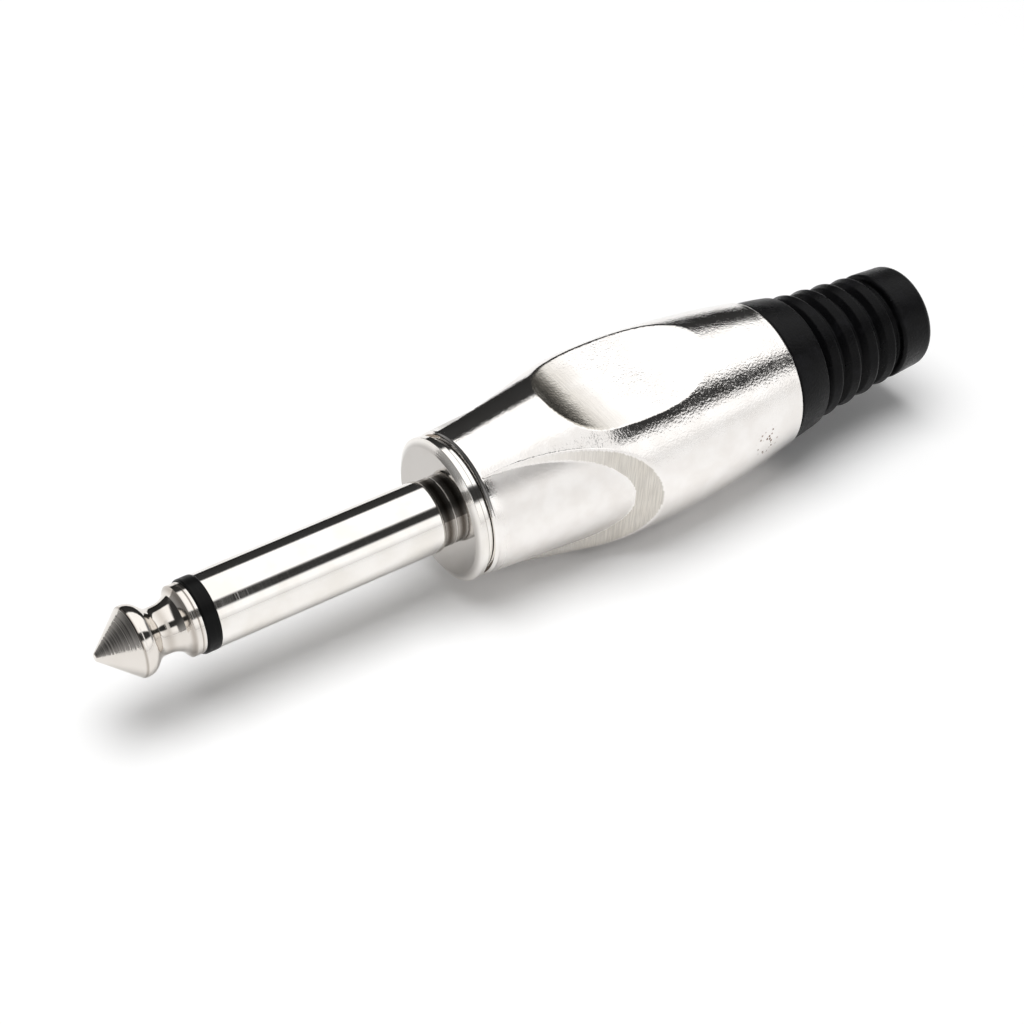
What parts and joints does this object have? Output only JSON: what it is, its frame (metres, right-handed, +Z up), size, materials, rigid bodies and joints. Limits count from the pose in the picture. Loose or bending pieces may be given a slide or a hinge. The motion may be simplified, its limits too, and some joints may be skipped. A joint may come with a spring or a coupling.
{
  "type": "mono jack plug",
  "caption": "Mono audio jack plug with a plated shank, a screwed scooped shell and a ribbed rubber strain relief.",
  "frame": {"origin": "under the middle of the plug's length, on the surface it lies on", "axes": "+X from the tip towards the boot's end, where the cable leaves; +Z up through the middle of one oval scoop; +Y across"},
  "size_m": [0.0826, 0.017, 0.0161],
  "materials": {
    "nickel": "polished nickel plate, fine turning lines",
    "shell_plate": "bright plate on a casting, slightly grainy, small pits",
    "black_plastic": "satin black",
    "white_plastic": "plain",
    "clear_plastic": "plain, milky",
    "fibre": "pressed fibre, red-brown",
    "rod_brass": "drawn",
    "tinned": "tin-plated strip",
    "boot_rubber": "matte black, rubbed grey on the edges"
  },
  "bodies": {
    "plug": {"tip": "nickel", "insulating_ring": "black_plastic", "sleeve": "nickel", "centre_rod": "rod_brass", "insulating_tube": "white_plastic", "earth_lug": "tinned", "lug_washer": "fibre", "tip_lug": "tinned", "liner": "clear_plastic"},
    "boot": {"boot": "boot_rubber"},
    "shell": {"shell": "shell_plate"}
  },
  "joints": [
    {"name": "shell_travel", "type": "slide", "parent": "plug", "child": "boot", "axis": [1, 0, 0], "range_m": [0, 0.00605]},
    {"name": "shell_turn", "type": "hinge", "parent": "boot", "child": "shell", "pos_m": [0, 0, 0.00807], "axis": [1, 0, 0], "range_deg": [0, 2880]}
  ],
  "couplings": [
    {"joint": "shell_travel", "follows": "shell_turn", "m_per_rad": 0.00011937}
  ]
}
